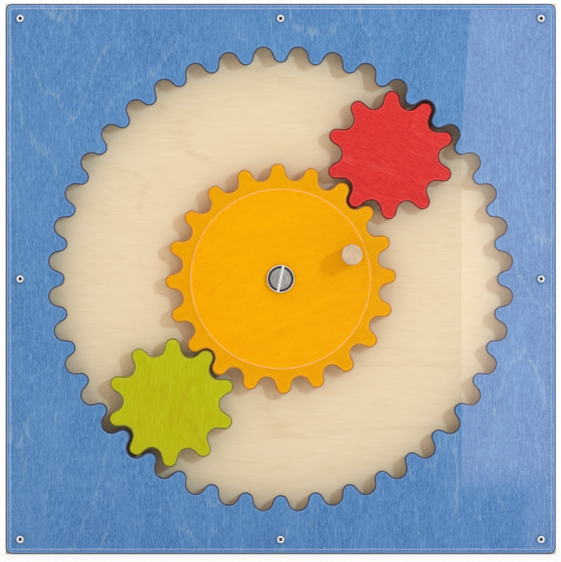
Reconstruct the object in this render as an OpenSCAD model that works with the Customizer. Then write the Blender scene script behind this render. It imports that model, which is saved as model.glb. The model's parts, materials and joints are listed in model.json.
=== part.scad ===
// Gear activity wall panel. A child turns the sun wheel by its peg, and two loose planet wheels
// roll between it and a toothed ring, trapped between the back board and a clear cover.
// Every piece is drawn with the panel lying on its back and is then stood up, so that the
// back face lies on y = 0, the front looks along -y and the axle is the origin.

/* [Gear set] */
// Pitch diameter for each tooth
gear_module = 8; // [7:0.1:9.5]
// Teeth on the sun wheel
sun_teeth = 20; // [18:1:24]
// Teeth on each planet wheel
planet_teeth = 10; // [8:1:12]
// Height of a sun tooth above its pitch circle, in modules
sun_addendum = 0.475; // [0.40:0.005:0.56]
// Height of a planet tooth above its pitch circle, in modules
planet_addendum = 0.85; // [0.70:0.01:0.98]
// Radius of every tooth tip, in modules
tip_arc = 0.65; // [0.50:0.01:0.70]
// How much wider the sun's valleys are than the tips, in modules
sun_valley_play = 0.07; // [0.05:0.005:0.10]
// How much wider the planets' valleys are than the tips, in modules
planet_valley_play = 0.15; // [0.10:0.005:0.18]
// How much wider the ring's valleys are than the tips, in modules
ring_valley_play = 0.12; // [0.08:0.005:0.16]
// Gap between a tip and the valley it runs in, sun and planet
tip_clear = 0.8; // [0.6:0.05:1.2]
// Gap between a tip and the valley it runs in, planet and ring
ring_clear = 1.4; // [1.0:0.05:2.0]
// Place of the red planet round the axle, in degrees from the right
red_angle = 48.5; // [0:0.5:89.5]
// Thickness of the three wheels
gear_t = 12; // [9:0.5:18]

/* [Boards and cover] */
// Thickness of the back board
back_t = 12; // [10:0.5:18]
// Blue board left between the ring's valleys and the edge
rim = 31.6; // [26:0.1:60]
// Radius of the blue board's corners
corner_r = 5; // [2:0.5:12]
// How far the back board stands out past the blue board
back_lip = 0.2; // [0.1:0.1:2]
// How far the cover's edge lies inside the blue board's edge
cover_inset = 3.1; // [1:0.1:5]
// Radius of the cover's corners
cover_corner_r = 2; // [1:0.5:6]
// Thickness of the clear cover
cover_t = 4; // [3:0.5:6]
// Gap between the wheels and the cover
cover_gap = 1.2; // [0.8:0.1:3]

/* [Axle] */
// Diameter of the sleeve that the sun turns on
axle_d = 10; // [8:0.5:11]
// Diameter of the slotted head
head_d = 20; // [17:0.5:24]
// Height of the slotted head
head_h = 3; // [2.5:0.25:4]
// Width of the sloping edge of the slotted head
head_bevel = 2; // [0.8:0.1:2]
// Width of the slot
slot_w = 1.8; // [1.2:0.1:2.4]
// Depth of the slot
slot_depth = 1.4; // [0.8:0.1:1.8]
// Lean of the slot from upright, in degrees
slot_lean = 12; // [0:1:45]
// Outer diameter of the washer under the slotted head
axle_washer_d = 17; // [15:0.5:22]
// Thickness of the flat washers
washer_t = 1.2; // [0.8:0.1:1.6]
// Outer diameter of the bearing bush
bush_d = 14; // [13:0.5:16]
// Outer diameter of the washer that holds the sun off the board
thrust_d = 32; // [24:1:60]
// Thickness of that washer
thrust_t = 1.5; // [1.2:0.1:3]
// Thread diameter of the bolt in the sleeve
bolt_d = 6; // [4:0.5:6]
// Length of the bolt under its head
bolt_l = 16; // [12:1:18]
// Diameter of the bolt's head
bolt_head_d = 11; // [10:0.5:14]
// Height of the bolt's head
bolt_head_h = 2.4; // [1.8:0.1:2.8]
// Thickness of the spring lock washer
lock_t = 1.5; // [1:0.1:2]
// Outer diameter of the washer behind the board
bolt_washer_d = 18; // [16:0.5:24]
// How far the bolt's head lies below the back face
bolt_sink = 0.5; // [0.3:0.1:1]
// Room round the washer in its well behind the board
well_room = 1; // [0.5:0.25:2]

/* [Peg] */
// Diameter of the beech peg
peg_d = 15; // [12:0.5:18]
// Distance of the peg from the axle
peg_offset = 54.5; // [40:0.5:60]
// Place of the peg round the axle, in degrees from the right
peg_angle = 18.7; // [0:0.1:360]
// How far the peg stands out of the cover
peg_reach = 20; // [15:1:30]
// Wood left under the peg's seat in the sun
peg_floor = 4; // [3:0.5:5]
// Gap between the peg's path and the edge of the hand hole in the cover
peg_room = 3.5; // [2:0.5:8]
// Slope on the peg's free edge
peg_bevel = 1; // [0.5:0.25:2]
// Length of the screw in the peg
peg_screw_l = 20; // [16:1:24]

/* [Glides] */
// Diameter of the glide discs
glide_d = 44; // [30:1:56]
// Diameter of the glide's plug
plug_d = 8; // [6:0.5:12]
// Length of the glide's plug
plug_l = 7; // [5:0.5:8.5]

/* [Fasteners] */
// Distance of the cover screws from the blue board's edge
screw_inset = 10.8; // [9:0.1:14]
// Shank diameter of the cover screws
cover_screw_d = 3; // [2.5:0.1:3.5]
// Head diameter of the cover screws
cover_head_d = 5.5; // [5:0.1:7]
// Length of the cover screws
cover_screw_l = 12; // [10:1:15]
// Mouth of the countersinks in the cover
countersink_d = 8.5; // [7.5:0.1:9]
// Shank diameter of the board screws
board_screw_d = 3.5; // [3:0.1:4]
// Head diameter of the board screws
board_head_d = 7; // [6:0.1:8]
// Length of the board screws
board_screw_l = 22; // [18:1:24]
// Spacing of the four wall inserts, both ways
insert_pitch = 300; // [280:5:320]
// Outer diameter of the wall inserts
insert_d = 10; // [9:0.5:12]
// Thread diameter of the wall inserts
insert_bore = 6; // [5:0.5:8]
// Length of the wall inserts
insert_l = 18; // [12:0.5:20]

/* [Fits] */
// Gap along the axle between pieces that turn against each other
run_gap = 0.3; // [0.2:0.05:0.5]
// Radial play of a shaft that turns in its bore
run_fit = 0.05; // [0.02:0.01:0.1]
// Radial play of a piece that is glued, pressed or screwed in
seat_fit = 0.05; // [0.02:0.01:0.1]
// Depth left free at the end of a blind hole
end_room = 1; // [0.5:0.25:2]

/* [Hidden] */
$fn = 64;

// Overlap of a cutting shape past the face that it cuts
through = 1;
// Straight pieces that stand for each arc of a tooth and of a corner
arc_steps = 6;

// Gear set: the valleys and the ring follow from the tips that run in them
ring_teeth = sun_teeth + 2 * planet_teeth;
centre_d = gear_module * (sun_teeth + planet_teeth) / 2;
sun_tip_r = gear_module * (sun_teeth / 2 + sun_addendum);
planet_tip_r = gear_module * (planet_teeth / 2 + planet_addendum);
sun_root_r = centre_d - planet_tip_r - tip_clear;
planet_root_r = centre_d - sun_tip_r - tip_clear;
ring_tip_r = centre_d + planet_root_r + ring_clear;
ring_root_r = centre_d + planet_tip_r + ring_clear;
tip_r = gear_module * tip_arc;
sun_valley_r = tip_r + gear_module * sun_valley_play;
planet_valley_r = tip_r + gear_module * planet_valley_play;
ring_valley_r = tip_r + gear_module * ring_valley_play;

// Mesh: a ring tooth lies at 0 degrees, and the wheels are turned until their teeth fit it
ring_pitch = 360 / ring_teeth;
green_angle = red_angle + 180;
function valley_shift(angle) = ring_pitch * (floor(angle / ring_pitch) + 0.5) - angle;
function planet_turn(angle) = angle + valley_shift(angle) * ring_teeth / planet_teeth;
sun_turn = red_angle - valley_shift(red_angle) * ring_teeth / sun_teeth + 180 / sun_teeth;

// Layers, measured from the back face
gear_z = back_t + thrust_t + run_gap;
gear_top = gear_z + gear_t;
cover_z = gear_top + cover_gap;
ring_t = cover_z - back_t;
front_z = cover_z + cover_t;
board_w = 2 * (ring_root_r + rim);
back_w = board_w + 2 * back_lip;
cover_w = board_w - 2 * cover_inset;

// Axle: the sleeve ends on the washer that the bolt pulls against it
head_z = gear_top + run_gap + washer_t;
well_depth = bolt_sink + bolt_head_h + lock_t + washer_t;
well_d = bolt_washer_d + 2 * well_room;
bolt_z = bolt_sink + bolt_head_h;
sleeve_bore_top = bolt_z + bolt_l + end_room;
lock_washer_d = bolt_head_d - 1;
lock_split = 1;
hex_across = bolt_d - 2;
hex_depth = bolt_head_h - 1;

// Peg: the hand hole clears it all the way round
peg_seat_z = gear_z + peg_floor;
peg_top = front_z + peg_reach;
hand_hole_d = 2 * (peg_offset + peg_d / 2 + peg_room);

// Screws: a head with sides at 45 degrees seats where its countersink is as wide as itself
screw_at = board_w / 2 - screw_inset;
cover_head_z = front_z - (countersink_d - cover_head_d) / 2;
board_head_sink = 0.3;
peg_screw_d = 3;
peg_screw_head_d = 6;
peg_screw_sink = 0.3;
point_l = 4;
recess_w = 0.9;
recess_share = 0.62;
recess_depth = 1;

// Glides fill the space that the thrust washer gives the sun
glide_z = back_t + run_gap;
glide_t = gear_z - run_gap - glide_z;

cover_screw_places = [
    for (x = [-1:1], y = [-1:1]) if (x != 0 || y != 0) screw_at * [x, y]
];
board_screw_places = [
    for (near = [-1, 1], far = [-1, 1], swap = [0, 1])
        screw_at * (swap == 0 ? [near, far / 2] : [far / 2, near])
];
insert_places = [for (x = [-1, 1], y = [-1, 1]) insert_pitch / 2 * [x, y]];

// Points of an arc round a centre, the short way from one angle to the other
function arc(centre, r, from, to) =
    let (sweep = (to - from + 540) % 360 - 180)
    [for (i = [0:arc_steps]) let (a = from + sweep * i / arc_steps) centre + r * [cos(a), sin(a)]];

// Half a tooth from its tip to the middle of the valley: tip arc, straight flank, valley arc.
// side is 1 for teeth that point out of the wheel and -1 for teeth that point into a ring.
function half_tooth(teeth, top_r, bottom_r, valley_r, side) =
    let (
        half = 180 / teeth,
        tip_at = [top_r - side * tip_r, 0],
        valley_at = (bottom_r + side * valley_r) * [cos(half), sin(half)],
        along = valley_at - tip_at,
        flank = atan2(along.y, along.x) - side * acos((tip_r + valley_r) / norm(along))
    )
    concat(
        arc(tip_at, tip_r, side > 0 ? 0 : 180, flank),
        arc(valley_at, valley_r, flank + 180, side > 0 ? half + 180 : half)
    );

function turned(p, angle) = [p.x * cos(angle) - p.y * sin(angle), p.x * sin(angle) + p.y * cos(angle)];

// Closed outline of a toothed wheel or ring, with a tooth on 0 degrees
function gear_outline(teeth, top_r, bottom_r, valley_r, side) =
    let (
        half = half_tooth(teeth, top_r, bottom_r, valley_r, side),
        last = len(half) - 1,
        tooth = concat([for (i = [last - 1:-1:1]) [half[i].x, -half[i].y]], half)
    )
    [for (k = [0:teeth - 1], p = tooth) turned(p, 360 * k / teeth)];

// Square outline with round corners
function round_square(w, r) =
    let (inner = w / 2 - r)
    [for (q = [0:3], p = arc(turned([inner, inner], 90 * q), r, 90 * q, 90 * q + 90)) p];

// Stands a piece that was drawn lying on its back upright, facing along -y
module stand() rotate([90, 0, 0]) children();

// Places its children round the axle at a distance and an angle
module round_axle(distance, angle) rotate(angle) translate([distance, 0, 0]) rotate(-angle) children();

module at_each(places) for (p = places) translate(p) children();

// Straight cylinder between two heights
module rod(d, from, to) translate([0, 0, from]) cylinder(d = d, h = to - from);

// Flat ring between two heights
module washer(outer_d, bore_d, from, to) difference() {
    rod(outer_d, from, to);
    rod(bore_d, from - through, to + through);
}

// Countersunk screw along +z: its head's flat face is at z = 0 and its point at z = length
module wood_screw(shank_d, head_d, length) difference() {
    rotate_extrude() polygon([
        [0, 0], [head_d / 2, 0], [shank_d / 2, (head_d - shank_d) / 2],
        [shank_d / 2, length - point_l], [0, length],
    ]);
    for (a = [0, 90]) rotate(a)
        translate([-recess_share * head_d / 2, -recess_w / 2, -through])
            cube([recess_share * head_d, recess_w, through + recess_depth]);
}

// Space for such a screw: a clear hole, and a countersink of the same slope with its mouth at z = 0
module screw_space(shank_d, mouth_d, length) union() {
    rod(shank_d + 2 * seat_fit, -through, length + end_room);
    translate([0, 0, -through])
        cylinder(d1 = mouth_d + 2 * seat_fit + 2 * through, d2 = shank_d + 2 * seat_fit,
            h = (mouth_d - shank_d) / 2 + through);
}

module back_board() color("burlywood") stand() difference() {
    translate([-back_w / 2, -back_w / 2, 0]) cube([back_w, back_w, back_t]);
    rod(axle_d + 2 * seat_fit, -through, back_t + through);
    rod(well_d, -through, well_depth);
    at_each(insert_places) rod(insert_d + 2 * seat_fit, -through, back_t + through);
    at_each(board_screw_places) translate([0, 0, board_head_sink])
        screw_space(board_screw_d, board_head_d, board_screw_l);
    at_each(board_screw_places) rod(board_head_d + 2 * seat_fit, -through, board_head_sink);
}

module ring_board() color("steelblue") stand() difference() {
    translate([0, 0, back_t]) linear_extrude(ring_t) difference() {
        polygon(round_square(board_w, corner_r));
        polygon(gear_outline(ring_teeth, ring_tip_r, ring_root_r, ring_valley_r, -1));
    }
    at_each(insert_places) rod(insert_d + 2 * seat_fit, back_t - through, insert_l + end_room);
    at_each(board_screw_places)
        rod(board_screw_d + 2 * seat_fit, back_t - through, board_head_sink + board_screw_l + end_room);
    at_each(cover_screw_places)
        rod(cover_screw_d + 2 * seat_fit, cover_head_z - cover_screw_l - end_room, cover_z + through);
}

module cover_sheet() color("white", 0.3) stand() difference() {
    translate([0, 0, cover_z]) linear_extrude(cover_t) polygon(round_square(cover_w, cover_corner_r));
    rod(hand_hole_d, cover_z - through, front_z + through);
    at_each(cover_screw_places) translate([0, 0, front_z]) mirror([0, 0, 1])
        screw_space(cover_screw_d, countersink_d, cover_t);
}

module cover_screws() color("silver") stand() at_each(cover_screw_places)
    translate([0, 0, cover_head_z]) mirror([0, 0, 1])
        wood_screw(cover_screw_d, cover_head_d, cover_screw_l);

module board_screws() color("silver") stand() at_each(board_screw_places)
    translate([0, 0, board_head_sink]) wood_screw(board_screw_d, board_head_d, board_screw_l);

module wall_inserts() color("goldenrod") stand() at_each(insert_places)
    washer(insert_d, insert_bore, 0, insert_l);

// Slotted head with a sloping edge, on a sleeve that is bored from behind for the bolt
module axle_sleeve() color("silver") stand() difference() {
    rotate_extrude() polygon([
        [0, well_depth], [axle_d / 2, well_depth], [axle_d / 2, head_z], [head_d / 2, head_z],
        [head_d / 2, head_z + head_h - head_bevel], [head_d / 2 - head_bevel, head_z + head_h],
        [0, head_z + head_h],
    ]);
    rod(bolt_d + 2 * seat_fit, well_depth - through, sleeve_bore_top);
    rotate(-slot_lean) translate([-slot_w / 2, -head_d, head_z + head_h - slot_depth])
        cube([slot_w, 2 * head_d, slot_depth + through]);
}

module axle_bolt() color("silver") stand() difference() {
    union() {
        rod(bolt_head_d, bolt_sink, bolt_z);
        rod(bolt_d, bolt_sink, bolt_z + bolt_l);
    }
    translate([0, 0, bolt_sink - through]) cylinder(d = hex_across, h = hex_depth + through, $fn = 6);
}

module lock_washer() color("gray") stand() difference() {
    washer(lock_washer_d, bolt_d + 2 * seat_fit, bolt_z, bolt_z + lock_t);
    translate([0, -lock_split / 2, bolt_z - through]) cube([lock_washer_d, lock_split, lock_t + 2 * through]);
}

module bolt_washer() color("silver") stand()
    washer(bolt_washer_d, bolt_d + 2 * seat_fit, bolt_z + lock_t, well_depth);

module thrust_washer() color("ivory") stand()
    washer(thrust_d, axle_d + 2 * seat_fit, back_t, back_t + thrust_t);

module axle_washer() color("silver") stand()
    washer(axle_washer_d, axle_d + 2 * seat_fit, gear_top + run_gap, head_z);

// Toothed wheel between the glides' level and the cover
module wheel(teeth, top_r, bottom_r, valley_r, turn) rotate(turn) translate([0, 0, gear_z])
    linear_extrude(gear_t) polygon(gear_outline(teeth, top_r, bottom_r, valley_r, 1));

module sun_gear() color("orange") stand() difference() {
    wheel(sun_teeth, sun_tip_r, sun_root_r, sun_valley_r, sun_turn);
    rod(bush_d + 2 * seat_fit, gear_z - through, gear_top + through);
    round_axle(peg_offset, peg_angle) {
        rod(peg_d + 2 * seat_fit, peg_seat_z, gear_top + through);
        translate([0, 0, gear_z + peg_screw_sink]) screw_space(peg_screw_d, peg_screw_head_d, peg_screw_l);
        rod(peg_screw_head_d + 2 * seat_fit, gear_z - through, gear_z + peg_screw_sink);
    }
}

module sun_bush() color("ivory") stand() washer(bush_d, axle_d + 2 * run_fit, gear_z, gear_top);

module turning_peg() color("wheat") stand() round_axle(peg_offset, peg_angle) difference() {
    rotate_extrude() polygon([
        [0, peg_seat_z], [peg_d / 2, peg_seat_z], [peg_d / 2, peg_top - peg_bevel],
        [peg_d / 2 - peg_bevel, peg_top], [0, peg_top],
    ]);
    rod(peg_screw_d + 2 * seat_fit, gear_z, gear_z + peg_screw_sink + peg_screw_l + end_room);
}

module peg_screw() color("silver") stand() round_axle(peg_offset, peg_angle)
    translate([0, 0, gear_z + peg_screw_sink]) wood_screw(peg_screw_d, peg_screw_head_d, peg_screw_l);

// Loose wheel with a blind hole in its back for the glide's plug
module planet(angle) stand() round_axle(centre_d, angle) difference() {
    wheel(planet_teeth, planet_tip_r, planet_root_r, planet_valley_r, planet_turn(angle));
    rod(plug_d + 2 * run_fit, gear_z - through, glide_z + glide_t + plug_l + end_room);
}

// Low disc that slides on the back board, with the plug that the wheel turns on
module glide(angle) stand() round_axle(centre_d, angle) union() {
    rod(glide_d, glide_z, glide_z + glide_t);
    rod(plug_d, glide_z, glide_z + glide_t + plug_l);
}

module red_planet() color("crimson") planet(red_angle);
module green_planet() color("yellowgreen") planet(green_angle);
module red_glide() color("ivory") glide(red_angle);
module green_glide() color("ivory") glide(green_angle);

back_board();
ring_board();
cover_sheet();
cover_screws();
board_screws();
wall_inserts();
axle_sleeve();
axle_bolt();
axle_washer();
thrust_washer();
bolt_washer();
lock_washer();
sun_gear();
sun_bush();
turning_peg();
peg_screw();
red_planet();
red_glide();
green_planet();
green_glide();
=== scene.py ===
# %% [markdown]
# # Gear activity wall panel
# A square wooden panel for a playroom wall. A child turns the orange wheel by its peg, and two
# loose wheels roll round a toothed ring behind a clear cover. The construction is already there
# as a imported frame, so this lesson gives every piece its real surface: eased edges, stained
# veneer, clear acrylic, turned steel. Sizes come from the frame wherever it holds them.

# %% Load the construction
import json
import math
import bmesh
import bpy
from mathutils import Matrix, Vector


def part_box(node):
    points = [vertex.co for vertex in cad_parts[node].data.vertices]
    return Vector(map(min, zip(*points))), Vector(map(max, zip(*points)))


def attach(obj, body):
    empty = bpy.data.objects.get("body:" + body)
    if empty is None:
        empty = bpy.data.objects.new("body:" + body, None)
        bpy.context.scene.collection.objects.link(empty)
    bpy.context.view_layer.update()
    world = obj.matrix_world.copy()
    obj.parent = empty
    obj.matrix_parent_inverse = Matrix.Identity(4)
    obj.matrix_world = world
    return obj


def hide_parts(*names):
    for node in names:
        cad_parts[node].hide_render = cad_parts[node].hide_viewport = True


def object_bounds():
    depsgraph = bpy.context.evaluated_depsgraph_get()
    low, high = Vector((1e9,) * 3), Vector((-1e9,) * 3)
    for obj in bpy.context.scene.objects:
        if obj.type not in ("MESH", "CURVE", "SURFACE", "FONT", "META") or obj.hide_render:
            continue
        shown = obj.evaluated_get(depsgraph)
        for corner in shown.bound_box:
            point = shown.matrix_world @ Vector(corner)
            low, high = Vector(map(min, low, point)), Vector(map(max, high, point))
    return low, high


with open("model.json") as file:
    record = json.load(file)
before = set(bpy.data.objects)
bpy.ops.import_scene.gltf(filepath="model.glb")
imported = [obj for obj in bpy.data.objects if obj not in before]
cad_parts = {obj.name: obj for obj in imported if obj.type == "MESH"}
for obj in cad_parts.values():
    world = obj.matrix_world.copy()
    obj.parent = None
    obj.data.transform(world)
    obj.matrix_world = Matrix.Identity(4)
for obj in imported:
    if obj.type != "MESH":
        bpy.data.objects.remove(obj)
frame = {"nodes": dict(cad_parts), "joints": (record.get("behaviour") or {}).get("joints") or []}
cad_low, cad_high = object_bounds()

MM = 0.001
scene = bpy.context.scene
scene.view_settings.view_transform = "Standard"


def layer(node):
    """How far the back and the front of a node lie in front of the panel's back face."""
    low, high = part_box(node)
    return -high.y, -low.y


def width(node):
    """Width of a node from left to right."""
    low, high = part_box(node)
    return high.x - low.x


print("nodes", len(frame["nodes"]), "panel", [round(x, 4) for x in cad_high - cad_low])

# %% [markdown]
# ## Camera
# The panel was photographed square on through a very long lens, because neither the peg nor the
# ring's walls lean anywhere in the picture. An orthographic camera would come close, but a long
# lens keeps the slight growth of the peg's end. The axle's place in the picture sets the aim.

# %% Camera
PICTURE_W = 561
PICTURE_H = 562
PANEL_PX = 551.2
AXLE_PX = (280.7, 278.9)
CAMERA_AWAY = 8
SENSOR_MM = 36

px_per_m = PANEL_PX / (cad_high.x - cad_low.x)
camera = bpy.data.objects.new("camera", bpy.data.cameras.new("camera"))
camera.data.sensor_width = SENSOR_MM
camera.data.lens = SENSOR_MM * CAMERA_AWAY * px_per_m / PICTURE_H
camera.location = (
    (PICTURE_W / 2 - AXLE_PX[0]) / px_per_m,
    -layer("ring_board")[1] - CAMERA_AWAY,
    (AXLE_PX[1] - PICTURE_H / 2) / px_per_m,
)
camera.rotation_euler = (math.pi / 2, 0, 0)
scene.collection.objects.link(camera)
scene.camera = camera
print("lens", round(camera.data.lens, 1), "mm at", CAMERA_AWAY, "m")

# %% [markdown]
# ## Node helpers
# Both the shapes and the finishes are built from nodes. Linking each socket by hand hides what a
# tree works out, so two functions do the wiring, and a small class lets sums be written as sums.

# %% Helpers that add and wire nodes


def source(value):
    """The socket that a value stands for: a field's own, a node's first. Plain values stay."""
    if isinstance(value, Field):
        return value.socket
    if isinstance(value, bpy.types.Node):
        return value.outputs[0]
    return value


def feed(tree, node, inputs):
    """Feeds a node's sockets, by name or by place: links what flows, sets what is a plain value.
    A list links each of its items."""
    for key, value in dict(inputs).items():
        for one in value if isinstance(value, list) else [value]:
            found = source(one)
            if isinstance(found, bpy.types.NodeSocket):
                tree.links.new(found, node.inputs[key])
            else:
                node.inputs[key].default_value = found


def add(tree, kind, inputs=(), **settings):
    """Adds a node: settings are its properties, inputs what its sockets are fed."""
    made = tree.nodes.new(kind)
    for name, value in settings.items():
        setattr(made, name, value)
    feed(tree, made, inputs)
    return made


class Field:
    """A number that flows through a node tree, so that a formula reads as a formula."""

    def __init__(self, tree, socket):
        self.tree = tree
        self.socket = source(socket)

    def math(self, operation, *others):
        made = add(self.tree, "ShaderNodeMath", enumerate((self, *others)), operation=operation)
        return Field(self.tree, made)

    def __add__(self, other):
        return self.math("ADD", other)

    def __sub__(self, other):
        return self.math("SUBTRACT", other)

    def __mul__(self, other):
        return self.math("MULTIPLY", other)

    def __truediv__(self, other):
        return self.math("DIVIDE", other)

    def __rsub__(self, other):
        return self.math("MULTIPLY", -1) + other

    def __rtruediv__(self, other):
        return self.math("POWER", -1) * other

    __radd__ = __add__
    __rmul__ = __mul__

    def between(self, low, high):
        """Rises smoothly from 0 at low to 1 at high."""
        made = add(self.tree, "ShaderNodeMapRange", {"Value": self, "From Min": low, "From Max": high},
                   interpolation_type="SMOOTHSTEP")
        return Field(self.tree, made)


def axes(tree, vector):
    """The three parts of a vector, as fields."""
    return [Field(tree, part) for part in add(tree, "ShaderNodeSeparateXYZ", {0: vector}).outputs]


def scaled(tree, vector, factor):
    """A vector made longer by a factor."""
    return add(tree, "ShaderNodeVectorMath", {0: vector, "Scale": factor}, operation="SCALE")


print("helpers ready")

# %% [markdown]
# ## Materials and groups
# Every finish starts as a material with one shader, and every shared effect as a group with named
# inputs and outputs. Setting them up takes the same few lines each time, so those are written once.
# A finish reads its object's own coordinates. World coordinates would do for a still picture, but
# the grain would swim through a wheel that turns.

# %% Starting points for materials and groups


def own_place(tree):
    """Coordinates of the object that a material is on."""
    return add(tree, "ShaderNodeTexCoord").outputs["Object"]


def new_material(name):
    """A material, its node tree and its Principled shader."""
    material = bpy.data.materials.new(name)
    material.use_nodes = True
    return material, material.node_tree, material.node_tree.nodes["Principled BSDF"]


def show(tree, shader):
    """Makes a shader the surface of its material."""
    feed(tree, tree.nodes["Material Output"], {"Surface": shader})


def new_group(kind, name, inputs, outputs):
    """A node group with named inputs and outputs, its inputs as fields, and its output node."""
    tree = bpy.data.node_groups.new(name, kind)
    for label, socket in inputs.items():
        tree.interface.new_socket(label, in_out="INPUT", socket_type="NodeSocket" + socket)
    for label, socket in outputs.items():
        tree.interface.new_socket(label, in_out="OUTPUT", socket_type="NodeSocket" + socket)
    start = tree.nodes.new("NodeGroupInput")
    end = tree.nodes.new("NodeGroupOutput")
    return tree, {label: Field(tree, start.outputs[label]) for label in inputs}, end


print("materials and groups ready")

# %% [markdown]
# ## Main lamp
# The picture shows one crisp shadow of the peg, down and to the left, so one small lamp stands at
# the upper right. Several soft lamps would light the panel as evenly, but each would add a shadow
# of its own. The lamp is given by the share of the panel's light that it brings, so that together
# with the room it lights a colour about as it is written.

# %% Main lamp
PANEL_MIDDLE = Vector((0, -layer("ring_board")[1], 0))
LAMP_AT = Vector((1.3, -1.97, 0.65))
LAMP_SIZE = 0.16
LAMP_SHARE = 0.17
LAMP_COLOUR = (0.75, 1.15, 1.5)

toward = PANEL_MIDDLE - LAMP_AT
lamp = bpy.data.objects.new("main_lamp", bpy.data.lights.new("main_lamp", "AREA"))
lamp.data.size = LAMP_SIZE
lamp.data.color = LAMP_COLOUR
lamp.data.energy = LAMP_SHARE * (math.pi * toward.length) ** 2 / toward.normalized().y
lamp.location = LAMP_AT
lamp.rotation_euler = toward.to_track_quat("-Z", "Y").to_euler()
lamp.visible_camera = False
lamp.visible_glossy = False
lamp.visible_transmission = False
scene.collection.objects.link(lamp)
print("lamp", round(lamp.data.energy, 2), "W,", round(toward.length, 2), "m away")

# %% [markdown]
# ## Card beside the camera
# The cover mirrors a pale, warm band along its right side, as it would a card that stands beside
# the camera. A tint painted on the cover would give the same picture, but it would stay when the
# panel turns. So a real card stands there, which only mirrored rays see. Its corners follow from
# where the band begins and ends in the picture.

# %% Warm card
CARD_GLOW = 1.12
CARD_COLOUR = (1, 0.82, 0.8, 1)
CARD_SEEN = {"left_top": 470.5, "left_low": 461.5, "bend": 140, "low": 482, "right_from": 527, "end": 600}
LOW_FADE = 0.03
SIDE_FADE = 0.01
SIDE_SHARE = 0.5


def mirrored_at(px, py):
    """Where the cover mirrors the room, in the camera's plane, for a point of the picture."""
    x = (px - AXLE_PX[0]) / px_per_m
    z = (AXLE_PX[1] - py) / px_per_m
    return 2 * x - camera.location.x, camera.location.y, 2 * z - camera.location.z


def card_material():
    """A glow that is full above the low edge, and falls to a share of it at the right below."""
    material, tree, _ = new_material("card_glow")
    x, _, z = axes(tree, own_place(tree))
    low = mirrored_at(0, CARD_SEEN["low"])[2]
    right = mirrored_at(CARD_SEEN["right_from"], 0)[0]
    upper = z.between(low - LOW_FADE, low + LOW_FADE)
    side = x.between(right - SIDE_FADE, right + SIDE_FADE) * SIDE_SHARE
    strength = upper.math("MAXIMUM", side) * CARD_GLOW
    glow = add(tree, "ShaderNodeEmission", {"Color": CARD_COLOUR, "Strength": strength})
    show(tree, glow)
    return material


card = bpy.data.objects.new("warm_card", bpy.data.meshes.new("warm_card"))
left_low = CARD_SEEN["left_low"]
end = CARD_SEEN["end"]
corners = [(CARD_SEEN["left_top"], 0), (left_low, CARD_SEEN["bend"]), (left_low, end), (end, end), (end, 0)]
card.data.from_pydata([mirrored_at(*corner) for corner in corners], [], [range(len(corners))])
card.data.materials.append(card_material())
card.visible_camera = False
card.visible_diffuse = False
card.visible_shadow = False
scene.collection.objects.link(card)
print("card", [round(x, 3) for x in card.dimensions])

# %% [markdown]
# ## World
# The world does three jobs. For the panel it is a warm dome that lights it from all round, dimmer
# in front where the camera stands. For mirrored rays it is a white tent with a dark gap for the
# lens, so that metal looks bright and the cover stays clear. For the camera it is plain white.
# Three sets of lamps could do the same, but Light Path tells the rays apart in one small tree.

# %% World
ROOM_LIGHT = 1.07
ROOM_COLOUR = (1, 0.882, 0.756, 1)
WHITE = (1, 1, 1, 1)
DIM_ANGLES = (18, 35)
DIM_SHARE = 0.8
GAP_ANGLES = (3.6, 8)

world = bpy.data.worlds.new("studio")
world.use_nodes = True
scene.world = world
sky = world.node_tree
ray = add(sky, "ShaderNodeLightPath").outputs
direction = axes(sky, add(sky, "ShaderNodeTexCoord").outputs["Generated"])
to_front = direction[1] * -1


def round_front(inner, outer):
    """1 straight in front of the panel, fading to 0 between two angles from there, in degrees."""
    return to_front.between(math.cos(math.radians(outer)), math.cos(math.radians(inner)))


room = (1 - round_front(*DIM_ANGLES) * DIM_SHARE) * ROOM_LIGHT
tent = 1 - round_front(*GAP_ANGLES)
mirrored = Field(sky, ray["Is Glossy Ray"]).math("MAXIMUM", ray["Is Transmission Ray"])
seen = Field(sky, ray["Is Camera Ray"])
ground = mirrored * tent + (1 - mirrored) * room
plain = seen.math("MAXIMUM", mirrored)
tint = add(sky, "ShaderNodeMix", {0: plain, 6: ROOM_COLOUR, 7: WHITE}, data_type="RGBA")
feed(sky, sky.nodes["Background"], {
    "Strength": seen + (1 - seen) * ground, "Color": tint.outputs[2]})
print("world", len(sky.nodes), "nodes")

# %% [markdown]
# ## Floor
# The panel stands on a white floor for its picture. A plain matt floor would come out grey, and
# more light would bleach the panel. So the camera sees the floor partly as white, which leaves
# the panel's shadow on it, and every other ray meets the matt floor.

# %% Floor
FLOOR_SIZE = 5
FLOOR_GAP = 0.4 * MM
FLOOR_WHITE = 0.75
FLOOR_COLOUR = (0.96, 0.96, 0.96, 1)

floor_shape = bmesh.new()
bmesh.ops.create_grid(floor_shape, x_segments=8, y_segments=8, size=FLOOR_SIZE / 2)
floor = bpy.data.objects.new("floor", bpy.data.meshes.new("floor"))
floor_shape.to_mesh(floor.data)
floor_shape.free()
floor.location.z = cad_low.z - FLOOR_GAP
floor.visible_glossy = False
floor.visible_transmission = False
scene.collection.objects.link(floor)

pale, nodes, matt = new_material("pale_floor")
feed(nodes, matt, {"Base Color": FLOOR_COLOUR, "Roughness": 0.9})
white = add(nodes, "ShaderNodeEmission", {"Strength": 1})
ray = add(nodes, "ShaderNodeLightPath").outputs
share = Field(nodes, ray["Is Camera Ray"]) * FLOOR_WHITE
show(nodes, add(nodes, "ShaderNodeMixShader", {0: share, 1: matt, 2: white}))
floor.data.materials.append(pale)
print("floor at", round(floor.location.z, 4))

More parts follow.
